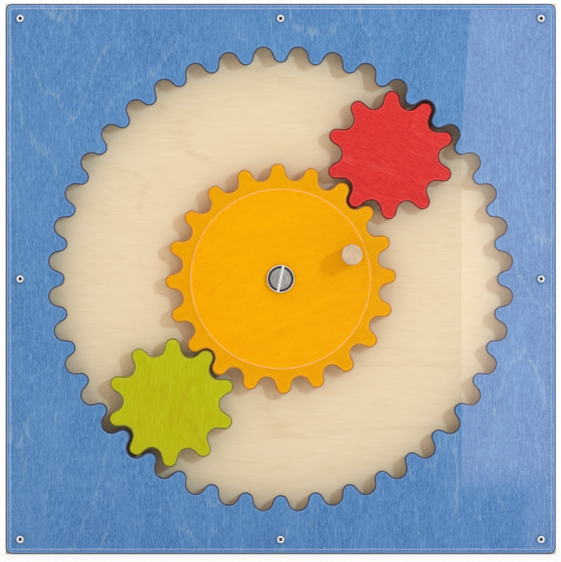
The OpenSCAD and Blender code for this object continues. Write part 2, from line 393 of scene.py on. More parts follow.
# %% [markdown]
# ## Outline of a toothed wheel
# The wheels are sawn from plywood with teeth made for small hands: a round tip, a straight flank
# and a round valley. Drawing one tooth by hand and copying it would fix its size for good. The
# three parts follow from four radii, so a node tree works out every point of the outline: it
# folds the point's number into a place on half a tooth, finds it on the tip arc or the valley
# arc, and turns it to its own tooth. Side is 1 for teeth that point out, -1 for teeth that point in.

# %% Node tree for a toothed outline
ARC_STEPS = 8
TOOTH_POINTS = 4 * ARC_STEPS + 2
TOOTH_INPUTS = {
    "Teeth": "Int", "Tip radius": "Float", "Root radius": "Float", "Tip arc": "Float",
    "Valley arc": "Float", "Side": "Float", "Turn": "Float",
}


def short_way(angle):
    """The same turn, taken the short way round."""
    return angle.math("WRAP", math.pi, -math.pi)


def toothed_outline():
    tree, get, end = new_group("GeometryNodeTree", "toothed outline", TOOTH_INPUTS, {"Outline": "Geometry"})
    side = get["Side"]
    tip_arc = get["Tip arc"]
    valley_arc = get["Valley arc"]
    half = math.pi / get["Teeth"]
    number = Field(tree, add(tree, "GeometryNodeInputIndex"))
    place = number.math("MODULO", TOOTH_POINTS) - TOOTH_POINTS / 2
    step = place.math("ABSOLUTE")
    in_valley = step.math("GREATER_THAN", ARC_STEPS + 0.5)
    tip_at = get["Tip radius"] - side * tip_arc
    valley_at = get["Root radius"] + side * valley_arc
    valley_x = valley_at * half.math("COSINE")
    valley_y = valley_at * half.math("SINE")
    along = valley_x - tip_at
    reach = (along * along + valley_y * valley_y).math("SQRT")
    flank = valley_y.math("ARCTAN2", along) - side * ((tip_arc + valley_arc) / reach).math("ARCCOSINE")
    start = (1 - side) * (math.pi / 2)
    stop = half + (1 + side) * (math.pi / 2)
    tip_turn = start + short_way(flank - start) * (step / ARC_STEPS)
    valley_share = (step - ARC_STEPS - 1) / ARC_STEPS
    valley_turn = flank + math.pi + short_way(stop - flank - math.pi) * valley_share
    tip_x = tip_at + tip_arc * tip_turn.math("COSINE")
    tip_y = tip_arc * tip_turn.math("SINE")
    low_x = valley_x + valley_arc * valley_turn.math("COSINE")
    low_y = valley_y + valley_arc * valley_turn.math("SINE")
    x = tip_x + (low_x - tip_x) * in_valley
    y = (tip_y + (low_y - tip_y) * in_valley) * place.math("SIGN")
    turn = (number / TOOTH_POINTS).math("FLOOR") * half * 2 + get["Turn"]
    cosine = turn.math("COSINE")
    sine = turn.math("SINE")
    point = add(tree, "ShaderNodeCombineXYZ", {"X": x * cosine - y * sine, "Y": x * sine + y * cosine})
    ring = add(tree, "GeometryNodeCurvePrimitiveCircle", {"Resolution": get["Teeth"] * TOOTH_POINTS})
    shaped = add(tree, "GeometryNodeSetPosition", {"Geometry": ring, "Position": point})
    feed(tree, end, {"Outline": shaped})
    return tree


TOOTHED_OUTLINE = toothed_outline()
print("toothed outline", len(TOOTHED_OUTLINE.nodes), "nodes")

# %% [markdown]
# ## Eased edges
# Every board and wheel of a toy has its edges rounded over by a router. A bevel modifier could do
# that, but it stumbles where valleys and tips follow each other closely. Sweeping a rounded
# profile along the outline gives the same edge everywhere, and the outline that is left over is
# filled for the faces. The sweep also notes on each point how far round the edge it lies, from 0
# on the face to 1 on the wall, because stain darkens there and a highlight is painted along the arris.

# %% Node tree for a swept edge
EDGE_STEPS = 5
EDGE_INPUTS = {"Outline": "Geometry", "Back": "Float", "Front": "Float", "Arris": "Float"}


def eased_edge():
    outputs = {"Wall": "Geometry", "Face outline": "Geometry"}
    tree, get, end = new_group("GeometryNodeTree", "eased edge", EDGE_INPUTS, outputs)
    arris = get["Arris"]
    number = Field(tree, add(tree, "GeometryNodeInputIndex"))
    second = number.math("GREATER_THAN", EDGE_STEPS + 0.5)
    share = (number - second * (EDGE_STEPS + 1)) / EDGE_STEPS
    angle = (share + second) * (math.pi / 2)
    out = angle.math("SINE")
    x = (out - 1) * arris
    y = angle.math("COSINE") * arris + get["Front"] - arris
    y = y + second * (get["Back"] + arris * 2 - get["Front"])
    line = add(tree, "GeometryNodeCurvePrimitiveLine")
    points = add(tree, "GeometryNodeResampleCurve", {"Curve": line, "Count": 2 * EDGE_STEPS + 2})
    place = add(tree, "ShaderNodeCombineXYZ", {"X": x, "Y": y * -1})
    profile = add(tree, "GeometryNodeSetPosition", {"Geometry": points, "Position": place})
    noted = add(tree, "GeometryNodeStoreNamedAttribute", {
        "Geometry": profile, "Name": "edge", "Value": out}, data_type="FLOAT", domain="POINT")
    rail = add(tree, "GeometryNodeSetCurveNormal", {"Curve": get["Outline"]}, mode="Z_UP")
    wall = add(tree, "GeometryNodeCurveToMesh", {"Curve": rail, "Profile Curve": noted})
    inward = scaled(tree, add(tree, "GeometryNodeInputNormal"), arris * -1)
    face = add(tree, "GeometryNodeSetPosition", {"Geometry": rail, "Offset": inward})
    feed(tree, end, {"Wall": wall, "Face outline": face})
    return tree


EASED_EDGE = eased_edge()
print("eased edge", len(EASED_EDGE.nodes), "nodes")

# %% [markdown]
# ## Plates
# A plate is one or more outlines with the space between them filled. A block with holes cut in it
# would serve too, but its cuts would be sharp, and swept outlines keep their eased edges. The tree
# is drawn lying on its back, with depth along Z as a sawyer would lay it on a bench, and stood up
# at the end.

# %% From outlines to a standing plate
WELD = 0.002 * MM


def outline_of_teeth(tree, get):
    """The toothed outline, fed from the inputs of the same names."""
    inputs = {label: get[label] for label in TOOTH_INPUTS}
    return add(tree, "GeometryNodeGroup", inputs, node_tree=TOOTHED_OUTLINE)


def outline_of_square(tree, get):
    """A square with round corners."""
    square = add(tree, "GeometryNodeCurvePrimitiveQuadrilateral", {
        "Width": get["Width"], "Height": get["Width"]})
    return add(tree, "GeometryNodeFilletCurve", {
        "Curve": square, "Count": ARC_STEPS, "Radius": get["Corner"], "Limit Radius": True}, mode="POLY")


def outline_of_hole(tree, outline):
    """The same outline run the other way round, so that its inside is the open side."""
    return add(tree, "GeometryNodeReverseCurve", {"Curve": outline})


def plate(tree, end, get, outlines):
    """Fills the space between outlines, with the same arris on each, into a standing plate."""
    walls = []
    rims = []
    for outline in outlines:
        edge = add(tree, "GeometryNodeGroup", {
            "Outline": outline, "Back": get["Back"], "Front": get["Front"],
            "Arris": get["Arris"]}, node_tree=EASED_EDGE)
        walls.append(edge.outputs["Wall"])
        rims.append(edge.outputs["Face outline"])
    rim = add(tree, "GeometryNodeJoinGeometry", {0: rims})
    face = add(tree, "GeometryNodeFillCurve", {"Curve": rim}, mode="TRIANGLES")
    flat = add(tree, "GeometryNodeSetShadeSmooth", {"Geometry": face, "Shade Smooth": False})
    sides = []
    for level in ("Back", "Front"):
        lift = add(tree, "ShaderNodeCombineXYZ", {"Z": get[level]})
        sides.append(add(tree, "GeometryNodeTransform", {"Geometry": flat, "Translation": lift}))
    whole = add(tree, "GeometryNodeJoinGeometry", {0: walls + sides})
    merged = add(tree, "GeometryNodeMergeByDistance", {"Geometry": whole, "Distance": WELD})
    stood = add(tree, "GeometryNodeTransform", {
        "Geometry": merged, "Rotation": (math.pi / 2, 0, 0), "Translation": get["Centre"]})
    real = add(tree, "GeometryNodeRealizeInstances", {"Geometry": stood})
    dressed = add(tree, "GeometryNodeSetMaterial", {"Geometry": real, "Material": get["Material"]})
    feed(tree, end, {"Plate": dressed})
    return tree


print("plates from", len(TOOTH_INPUTS), "sizes of teeth")

# %% [markdown]
# ## Three kinds of plate
# The panel has three kinds of plate: wheels with teeth outside, the board with teeth inside, and
# plain boards with a round hole. Each kind is a tree with named sizes, so the lesson can grow any
# number of them and still change a size in one place.

# %% Trees for wheels, ring and boards
PLATE_INPUTS = {
    "Back": "Float", "Front": "Float", "Arris": "Float", "Centre": "Vector", "Material": "Material",
}
PLATE_OUTPUT = {"Plate": "Geometry"}


def wheel_tree():
    inputs = {**TOOTH_INPUTS, **PLATE_INPUTS}
    tree, get, end = new_group("GeometryNodeTree", "toothed wheel", inputs, PLATE_OUTPUT)
    return plate(tree, end, get, [outline_of_teeth(tree, get)])


def ring_tree():
    inputs = {"Width": "Float", "Corner": "Float", **TOOTH_INPUTS, **PLATE_INPUTS}
    tree, get, end = new_group("GeometryNodeTree", "toothed ring", inputs, PLATE_OUTPUT)
    teeth = outline_of_hole(tree, outline_of_teeth(tree, get))
    return plate(tree, end, get, [outline_of_square(tree, get), teeth])


def board_tree():
    inputs = {"Width": "Float", "Corner": "Float", "Hole": "Float", "Hole steps": "Int", **PLATE_INPUTS}
    tree, get, end = new_group("GeometryNodeTree", "board with a hole", inputs, PLATE_OUTPUT)
    circle = add(tree, "GeometryNodeCurvePrimitiveCircle", {
        "Resolution": get["Hole steps"], "Radius": get["Hole"] / 2})
    return plate(tree, end, get, [outline_of_square(tree, get), outline_of_hole(tree, circle)])


WHEEL = wheel_tree()
RING = ring_tree()
BOARD = board_tree()
print("plates", WHEEL.name, RING.name, BOARD.name)

# %% [markdown]
# ## From trees to plain meshes
# The export takes plain meshes, so each tree is evaluated once and its result kept. Leaving the
# trees live would keep every size open, but each later cut would then work them all out again.

# %% Growing a piece


def new_piece(name, mesh=None):
    """An object at the origin, linked to the scene."""
    piece = bpy.data.objects.new(name, mesh or bpy.data.meshes.new(name))
    scene.collection.objects.link(piece)
    return piece


def outward(mesh):
    """Turns every face of a closed mesh outward."""
    shape = bmesh.new()
    shape.from_mesh(mesh)
    bmesh.ops.recalc_face_normals(shape, faces=shape.faces)
    shape.to_mesh(mesh)
    shape.free()


def drop_empty_slots(mesh):
    """Removes the material slots that hold nothing."""
    kept = [material for material in mesh.materials if material]
    index = [kept.index(mesh.materials[face.material_index]) for face in mesh.polygons]
    mesh.materials.clear()
    for material in kept:
        mesh.materials.append(material)
    mesh.polygons.foreach_set("material_index", index)


def settle(piece):
    """Replaces a piece's mesh and modifiers by the plain mesh that they make."""
    depsgraph = bpy.context.evaluated_depsgraph_get()
    plain = bpy.data.meshes.new_from_object(
        piece.evaluated_get(depsgraph), preserve_all_data_layers=True, depsgraph=depsgraph)
    piece.modifiers.clear()
    piece.data = plain
    plain.name = piece.name
    drop_empty_slots(plain)
    outward(plain)


def grow(name, tree, sizes, mesh=None):
    """A piece made by a node tree, whose inputs are set before it is evaluated."""
    piece = new_piece(name, mesh)
    modifier = piece.modifiers.new(tree.name, "NODES")
    modifier.node_group = tree
    for socket in tree.interface.items_tree:
        if socket.in_out == "INPUT" and socket.name in sizes:
            modifier[socket.identifier] = sizes[socket.name]
    settle(piece)
    print(name, len(piece.data.polygons), "faces")
    return piece


print("pieces can grow")

# %% [markdown]
# ## Drilling and turning
# Holes are drilled with a turned cutter, as a drill press would, and round pieces such as the peg
# are turned from a profile by the same function. A plain cylinder could serve for a straight hole,
# but not for a countersink, whose radius changes with its depth.

# %% Drilling and turning
EASE_STEPS = 6


def to_mesh(shape, name, *finishes):
    """A mesh of a finished shape, with its faces turned outward."""
    bmesh.ops.recalc_face_normals(shape, faces=shape.faces)
    mesh = bpy.data.meshes.new(name)
    shape.to_mesh(mesh)
    shape.free()
    for finish in finishes:
        mesh.materials.append(finish)
    return mesh


def join_rings(shape, rings, steps, smooth):
    """Faces between rings of points, each of them a full round or a single point."""
    for one, two in zip(rings, rings[1:]):
        for k in range(steps):
            after = k + 1
            corners = [one[k % len(one)], one[after % len(one)], two[after % len(two)], two[k % len(two)]]
            unique = list(dict.fromkeys(corners))
            if len(unique) > 2:
                shape.faces.new(unique).smooth = smooth


def turned_mesh(name, profile, places=((0, 0),), steps=64, smooth=True):
    """A profile of (radius, depth) pairs from end to end, turned about an axis through each place.
    A place is (x, z), and depth runs forward from the panel's back face."""
    shape = bmesh.new()
    for x, z in places:
        rings = []
        for radius, depth in profile:
            count = steps if radius > 0 else 1
            turns = [2 * math.pi * k / steps for k in range(count)]
            points = [(x + radius * math.cos(a), -depth, z + radius * math.sin(a)) for a in turns]
            rings.append([shape.verts.new(point) for point in points])
        join_rings(shape, rings, steps, smooth)
    return to_mesh(shape, name)


def eased(radius, front, size, sweep):
    """Profile of a rounded edge: an arc from a wall of that radius over to the front."""
    turns = [sweep * k / EASE_STEPS for k in range(EASE_STEPS + 1)]
    return [(radius - size * (1 - math.cos(a)), front - size * (1 - math.sin(a))) for a in turns]


def cut(piece, cutter):
    """Takes a cutter's shape out of a piece, with the cutter's finish on the new faces."""
    tool = new_piece("cutter", cutter)
    modifier = piece.modifiers.new("cut", "BOOLEAN")
    modifier.operation = "DIFFERENCE"
    modifier.solver = "EXACT"
    modifier.material_mode = "TRANSFER"
    modifier.object = tool
    settle(piece)
    bpy.data.objects.remove(tool)


def plain_hole(radius, start, stop):
    """Profile of a plain hole between two depths."""
    return [(0, start), (radius, start), (radius, stop), (0, stop)]


def drill(piece, profile, places, steps=48, finish=None):
    """Drills the same stepped hole at each place, with the piece's own finish inside, or another."""
    cutter = turned_mesh("drill", profile, places, steps)
    cutter.materials.append(finish or piece.data.materials[0])
    cut(piece, cutter)


print("workshop ready")

# %% [markdown]
# ## Colour and noise
# All the finishes mix colours by noise. The colours are easiest to compare with the picture when
# they are written as they look on screen, so one function converts them. Noise is stretched along
# Z, because wood is, and a stretch of 1 leaves it round for metal and plastic.

# %% Colour and noise


def srgb(red, green, blue):
    """A colour written as it looks on screen, from 0 to 255, as the shader wants it."""
    parts = [c / 255 for c in (red, green, blue)]
    return (*[c / 12.92 if c <= 0.04045 else ((c + 0.055) / 1.055) ** 2.4 for c in parts], 1)


def noise(tree, vector, stretch, scale, detail, rough=0.5):
    """Noise of so many waves a metre, stretched along Z, as a field."""
    squeezed = add(tree, "ShaderNodeVectorMath", {0: vector, 1: (1, 1, 1 / stretch)}, operation="MULTIPLY")
    made = add(tree, "ShaderNodeTexNoise", {
        "Vector": squeezed, "Scale": scale, "Detail": detail, "Roughness": rough})
    return Field(tree, made.outputs["Fac"])


def blend(tree, share, one, two):
    """A colour that goes from one to two."""
    return add(tree, "ShaderNodeMix", {0: share, 6: one, 7: two}, data_type="RGBA").outputs[2]


print("colour and noise ready")

# %% [markdown]
# ## Stained veneer
# All the boards are birch plywood. Stain sinks into the veneer unevenly: fine pale streaks run
# along the grain, wide soft clouds lie over them, and the growth rings, sliced at a low angle,
# leave curved lines. Photographs of veneer would show that at once, but they repeat and can't be
# restained. Stretched noise gives the streaks, and level lines of a slow noise give the figure.
# One shader group makes them for every board, with the grain along the vector's Z.

# %% Shader group for the veneer's grain
GRAIN_WANDER = 9 * MM
FIGURE_LINES = 15
FIGURE_WOBBLE = 0.3


def veneer_group():
    inputs = {
        "Vector": "Vector", "Stain": "Color", "Pale": "Color", "Deep": "Color",
        "Figure colour": "Color", "Fineness": "Float", "Streaks": "Float", "Clouds": "Float",
        "Figure": "Float", "Figure scale": "Float", "Figure width": "Float",
    }
    outputs = {"Colour": "Color", "Grain": "Float"}
    tree, get, end = new_group("ShaderNodeTree", "stained veneer", inputs, outputs)
    vector = get["Vector"]
    lean = (noise(tree, vector, stretch=2, scale=14, detail=1) - 0.5) * GRAIN_WANDER
    leaning = add(tree, "ShaderNodeCombineXYZ", {"X": lean})
    vector = add(tree, "ShaderNodeVectorMath", {0: vector, 1: leaning}, operation="ADD")
    fine = scaled(tree, vector, get["Fineness"])
    streak = noise(tree, fine, stretch=6, scale=1300, detail=2, rough=0.6).between(0.3, 0.7)
    pore = noise(tree, fine, stretch=4, scale=2300, detail=1).between(0.32, 0.68)
    hair = noise(tree, fine, stretch=14, scale=1500, detail=1).between(0.52, 0.72)
    cloud = noise(tree, vector, stretch=2.6, scale=42, detail=3, rough=0.6).between(0.3, 0.7)
    slow = scaled(tree, vector, get["Figure scale"])
    level = noise(tree, slow, stretch=4.2, scale=1, detail=1.6, rough=0.4) * FIGURE_LINES
    level = level + noise(tree, vector, stretch=2.5, scale=110, detail=2) * FIGURE_WOBBLE
    level = level + (noise(tree, vector, stretch=9, scale=700, detail=1) - 0.5) * FIGURE_WOBBLE
    off = (level.math("FRACT") - 0.5).math("ABSOLUTE")
    line = 1 - (off / get["Figure width"]).between(0.2, 1)
    shown = noise(tree, vector, stretch=1.6, scale=11, detail=1).between(0.36, 0.56)
    fleck = noise(tree, vector, stretch=5, scale=160, detail=2).between(0.35, 0.6)
    figure = line * shown * (fleck * 0.75 + 0.25)
    colour = blend(tree, cloud * get["Clouds"], get["Stain"], get["Deep"])
    paler = streak * 0.45 + pore * 0.4 + hair * 0.4
    colour = blend(tree, paler * get["Streaks"], colour, get["Pale"])
    colour = blend(tree, figure * get["Figure"], colour, get["Figure colour"])
    feed(tree, end, {"Colour": colour, "Grain": streak * 0.5 + pore * 0.5})
    return tree


VENEER = veneer_group()
print("veneer", len(VENEER.nodes), "nodes")

# %% [markdown]
# ## Sawn and eased edges of plywood
# On the wall of a sawn board the plies show as thin bands, alternately along and across the
# grain, with a dark glue line between them. Stain soaks into them deeper than into the face, so
# the walls look dark. Along the eased arris, before it turns dark, a pale rim colour is painted on
# as a highlight, the same all round. The swept edge has noted how far round each point lies, and
# this group reads that.

# %% Shader group for plywood edges
PLY = 1.5 * MM


def ply_edge_group():
    inputs = {
        "Vector": "Vector", "Face": "Color", "Rim": "Color", "Wall": "Color", "Glue": "Color",
        "Edge": "Float", "Rim share": "Float",
    }
    outputs = {"Colour": "Color", "Layers": "Float"}
    tree, get, end = new_group("ShaderNodeTree", "plywood edge", inputs, outputs)
    depth = axes(tree, get["Vector"])[1]
    wander = noise(tree, get["Vector"], stretch=1, scale=60, detail=2) * 0.5
    ply = (depth / PLY + wander).math("FRACT")
    glue = 1 - (ply - 0.5).math("ABSOLUTE").between(0.02, 0.1)
    cross = (depth / (2 * PLY) + wander * 0.5).math("FRACT").math("GREATER_THAN", 0.5)
    dots = noise(tree, get["Vector"], stretch=1, scale=900, detail=2).between(0.35, 0.7)
    wall = blend(tree, glue * 0.8 + cross * dots * 0.45, get["Wall"], get["Glue"])
    edge = get["Edge"]
    # Painted highlight: a pale band on the face side of the arris, the same all round.
    rim = edge.between(0, 0.1) * (1 - edge.between(0.25, 0.4)) * get["Rim share"]
    colour = blend(tree, rim, get["Face"], get["Rim"])
    colour = blend(tree, edge.between(0.22, 0.5), colour, wall)
    feed(tree, end, {"Colour": colour, "Layers": glue * edge})
    return tree


PLY_EDGE = ply_edge_group()
print("plywood edge", len(PLY_EDGE.nodes), "nodes")

# %% [markdown]
# ## A stained board
# The face of each board is lacquered over its stain, so it has a thin clear coat that shines while
# the wood under it stays matt. Five separate materials would repeat the same wiring. One function
# sets up both groups with the values of a board, and puts the grain into the bump as well.

# %% Function for a stained board
# On the boards' outer edges the painted highlight along the arris is stronger than on teeth and holes.
OUTER_EDGE = (188 * MM, 195 * MM)
OUTER_HIGHLIGHT_SHARE = 0.6


def stained(name, stain, pale, deep, figure, rim, wall, glue, grain_turn, seed, highlight_share, values):
    """Stained plywood: colours, the grain's turn from upright in degrees, and the veneer's amounts.
    The rim colour, with its share, is a highlight painted along the arris.
    """
    material, tree, shader = new_material(name)
    coords = own_place(tree)
    along = add(tree, "ShaderNodeMapping", {
        "Vector": coords, "Location": (seed, 0.7 * seed, 1.3 * seed),
        "Rotation": (0, math.radians(grain_turn), 0)})
    veneer = add(tree, "ShaderNodeGroup", {
        "Vector": along, "Stain": srgb(*stain), "Pale": srgb(*pale), "Deep": srgb(*deep),
        "Figure colour": srgb(*figure), **values}, node_tree=VENEER)
    edge = add(tree, "ShaderNodeAttribute", attribute_name="edge")
    x, _, z = axes(tree, coords)
    outside = x.math("ABSOLUTE").math("MAXIMUM", z.math("ABSOLUTE")).between(*OUTER_EDGE)
    sides = add(tree, "ShaderNodeGroup", {
        "Vector": coords, "Face": veneer.outputs["Colour"], "Rim": srgb(*rim), "Wall": srgb(*wall),
        "Glue": srgb(*glue), "Edge": edge.outputs["Fac"],
        "Rim share": outside * (OUTER_HIGHLIGHT_SHARE - highlight_share) + highlight_share}, node_tree=PLY_EDGE)
    grain = Field(tree, veneer.outputs["Grain"])
    height = grain - Field(tree, sides.outputs["Layers"])
    bump = add(tree, "ShaderNodeBump", {"Height": height, "Strength": 0.35, "Distance": 0.06 * MM})
    feed(tree, shader, {
        "Base Color": sides.outputs["Colour"], "Roughness": grain * 0.18 + 0.36,
        "Specular IOR Level": 0.02, "Coat Weight": 0.7, "Coat Roughness": 0.08, "Normal": bump})
    return material


print("stained board from", VENEER.name, "and", PLY_EDGE.name)

# %% [markdown]
# ## The five woods of the boards and wheels
# Each board keeps the same birch under its own stain: blue for the ring, orange, red and
# yellow-green for the wheels, clear lacquer for the back. They differ in colour, in the way the
# grain runs and in how strongly it shows. Colours are written as they look on screen.

# %% Blue, birch, orange, red and green
# Each rim colour is a pale highlight painted along the eased arris.
BLUE = stained(
    "blue_ply", grain_turn=0, seed=1.7, highlight_share=0.25,
    stain=(75, 127, 188), pale=(119, 168, 218), deep=(49, 105, 174), figure=(158, 190, 210),
    rim=(180, 200, 234), wall=(66, 82, 124), glue=(45, 54, 86),
    values={"Fineness": 1, "Streaks": 1, "Clouds": 0.9,
            "Figure": 0.5, "Figure scale": 11, "Figure width": 0.042})
BIRCH = stained(
    "birch_ply", grain_turn=90, seed=7.4, highlight_share=0.3,
    stain=(246, 224, 187), pale=(249, 233, 205), deep=(241, 215, 174), figure=(228, 198, 154),
    rim=(228, 204, 166), wall=(206, 176, 136), glue=(130, 94, 62),
    values={"Fineness": 0.4, "Streaks": 0.6, "Clouds": 0.6,
            "Figure": 0.35, "Figure scale": 8, "Figure width": 0.09})
ORANGE = stained(
    "orange_ply", grain_turn=-64, seed=11.9, highlight_share=0.35,
    stain=(246, 168, 0), pale=(250, 182, 0), deep=(241, 157, 0), figure=(251, 187, 0),
    rim=(252, 178, 24), wall=(220, 148, 8), glue=(192, 118, 6),
    values={"Fineness": 0.5, "Streaks": 0.6, "Clouds": 0.5,
            "Figure": 0.3, "Figure scale": 14, "Figure width": 0.1})
RED = stained(
    "red_ply", grain_turn=64, seed=17.3, highlight_share=0.35,
    stain=(220, 40, 42), pale=(238, 78, 74), deep=(206, 34, 40), figure=(240, 96, 88),
    rim=(242, 108, 98), wall=(156, 22, 28), glue=(120, 14, 20),
    values={"Fineness": 0.75, "Streaks": 0.7, "Clouds": 0.7,
            "Figure": 0.5, "Figure scale": 13, "Figure width": 0.035})
GREEN = stained(
    "green_ply", grain_turn=-4, seed=23.8, highlight_share=0.4,
    stain=(188, 190, 0), pale=(202, 205, 40), deep=(188, 180, 4), figure=(184, 158, 16),
    rim=(206, 204, 74), wall=(158, 154, 12), glue=(124, 120, 10),
    values={"Fineness": 0.5, "Streaks": 0.7, "Clouds": 0.7,
            "Figure": 0.35, "Figure scale": 15, "Figure width": 0.09})
print("woods", [m.name for m in (BLUE, BIRCH, ORANGE, RED, GREEN)])

# %% [markdown]
# ## Clear acrylic
# The cover is a sheet of acrylic. Cycles bends light through it, but lamps would be shut out,
# because a lamp's ray doesn't bend. A Transparent shader lets those rays through. The faint wear
# of a toy that is wiped every day goes into the roughness.

# %% Acrylic
CLEAR, nodes, shader = new_material("clear_sheet")
wear = noise(nodes, own_place(nodes), stretch=1, scale=40, detail=4, rough=0.7).between(0.55, 0.8)
feed(nodes, shader, {
    "Base Color": (0.985, 0.992, 0.995, 1), "Roughness": wear * 0.02, "IOR": 1.49, "Transmission Weight": 1})
ray = add(nodes, "ShaderNodeLightPath").outputs
straight = Field(nodes, ray["Is Shadow Ray"]).math("MAXIMUM", ray["Is Diffuse Ray"])
through = add(nodes, "ShaderNodeBsdfTransparent")
show(nodes, add(nodes, "ShaderNodeMixShader", {0: straight, 1: shader, 2: through}))
print("acrylic", CLEAR.name)

# %% [markdown]
# ## Edges of the acrylic
# The sheet's eased edges show as thin pale lines, cool round the outside and warm round the
# hand hole, with a dark line beside the outer one. Both are painted: a pale highlight colour on
# the arris and, beside the outer one, a dark line of painted shade. Glass shaders would need many
# samples for so thin a line, so the edges are a partly clear coat of their own, and so are the
# cones of the countersinks, in a dark blue that is painted shade.

# %% Edges and countersinks
PAST_HOLE = (100 * MM, 150 * MM)


def from_axle(tree, coords):
    """Distance from the axle's line, as a field."""
    x, _, z = axes(tree, coords)
    return (x * x + z * z).math("SQRT")


EDGE_PAINTED_LIGHT, nodes, shader = new_material("clear_edge")
coords = own_place(nodes)
scuff_and_painted_tint = noise(nodes, coords, stretch=1, scale=120, detail=2).between(0.3, 0.7)
outer = from_axle(nodes, coords).between(*PAST_HOLE)
edge = Field(nodes, add(nodes, "ShaderNodeAttribute", attribute_name="edge").outputs["Fac"])
# Painted shade: a dark line on the face side of the outer arris.
painted_shade_line = outer * (1 - edge.between(0.3, 0.5))
# Painted highlight colours, warm round the hand hole and cool round the outside.
warm_highlight = blend(nodes, scuff_and_painted_tint, (0.96, 0.84, 0.46, 1), (1, 0.9, 0.54, 1))
cool_highlight = blend(nodes, scuff_and_painted_tint, (0.56, 0.7, 0.95, 1), (0.62, 0.76, 1, 1))
light = blend(nodes, outer, warm_highlight, cool_highlight)
wall = edge.between(0.95, 1)
feed(nodes, shader, {
    "Base Color": blend(nodes, painted_shade_line, light, (0.03, 0.06, 0.14, 1)), "Roughness": scuff_and_painted_tint * 0.2 + 0.3,
    "Specular IOR Level": 0.2, "Alpha": (outer * 0.2 + 0.06) * (1 - wall) + wall * 0.35})

# Painted shade: the countersinks' cones are a dark blue, partly clear coat for the dark ring round each
# screw head.
COUNTERSINK_SHADE, nodes, shader = new_material("countersink")
scuff_and_painted_tint = noise(nodes, own_place(nodes), stretch=1, scale=500, detail=2).between(0.3, 0.7)
feed(nodes, shader, {
    "Base Color": blend(nodes, scuff_and_painted_tint, srgb(58, 78, 112), srgb(78, 104, 146)),
    "Roughness": scuff_and_painted_tint * 0.2 + 0.4, "Specular IOR Level": 0.1, "Alpha": 0.18})
print("edges", EDGE_PAINTED_LIGHT.name, COUNTERSINK_SHADE.name)

# %% [markdown]
# ## Metal
# Zinc-plated screws are bright with a slightly cloudy skin. The axle's head was faced on a lathe,
# which leaves fine rings round its middle. A stretched noise would give straight brush marks, so
# the rings come from a sine of the distance to the axle. They go into the bump, and into the
# colour as dark and light bands of painted reflection whose strength noise varies in patches.

# %% Metals


def shade(colour, share):
    """A share of a colour."""
    return (*[share * c for c in colour[:3]], 1)


def metal(name, colour, rough, cloud_scale, rings=0.0):
    """Metal with a cloudy skin. Where rings is over 0, turned rings lie that far apart round the axle, in
    the bump and in the colour as painted dark and light bands.
    """
    material, tree, shader = new_material(name)
    coords = own_place(tree)
    cloud = noise(tree, coords, stretch=1, scale=cloud_scale, detail=3)
    tone = blend(tree, cloud.between(0.3, 0.7), shade(colour, 0.86), colour)
    if rings:
        # Painted reflection: the rings darken the colour in bands, more or less as noise varies.
        ridge = (from_axle(tree, coords) * (2 * math.pi / rings)).math("SINE") * 0.5 + 0.5
        arc = noise(tree, coords, stretch=1, scale=150, detail=1).between(0.4, 0.6)
        tone = blend(tree, ridge * (arc * 0.5 + 0.5), shade(colour, 0.35), tone)
        bump = add(tree, "ShaderNodeBump", {"Height": ridge, "Strength": 0.2, "Distance": 0.02 * MM})
        feed(tree, shader, {"Normal": bump})
    feed(tree, shader, {"Base Color": tone, "Metallic": 1, "Roughness": cloud * 0.16 + rough - 0.08})
    return material


ZINC = metal("screw_zinc", (0.98, 0.99, 1, 1), 0.22, 700)
# Painted shade: a near-black metal for the screws' cross recesses.
RECESS_PAINTED_SHADE = metal("recess_zinc", (0.05, 0.05, 0.055, 1), 0.5, 900)
RING_PITCH = 1.55 * MM
TURNED = metal("turned_steel", (0.69, 0.655, 0.63, 1), 0.34, 300, RING_PITCH)
# Painted highlight on the axle head's rim, painted shade in its groove.
HEAD_RIM_HIGHLIGHT = metal("polished_rim", (0.95, 0.92, 0.87, 1), 0.45, 300)
HEAD_GROOVE_SHADE = metal("dark_groove", (0.06, 0.042, 0.036, 1), 0.4, 300)
# The slot's floor: rough as milled, and near white, brighter than the turned steel, as painted highlight.
MILLED_PAINTED_BRIGHT = metal("milled_slot", (1, 0.98, 0.96, 1), 0.55, 900)
BRASS = metal("insert_brass", (0.72, 0.52, 0.22, 1), 0.3, 500)
print("metals", [m.name for m in (ZINC, RECESS_PAINTED_SHADE, TURNED, HEAD_RIM_HIGHLIGHT, HEAD_GROOVE_SHADE, MILLED_PAINTED_BRIGHT, BRASS)])

# %% [markdown]
# ## Beech
# The peg is a beech dowel. Its end shows small open pores, its side short dark flecks along the
# length. A Voronoi pattern gives the pores one by one, and noise stretched along the dowel gives
# the flecks, with the vector turned so that the stretch follows the dowel's axis.

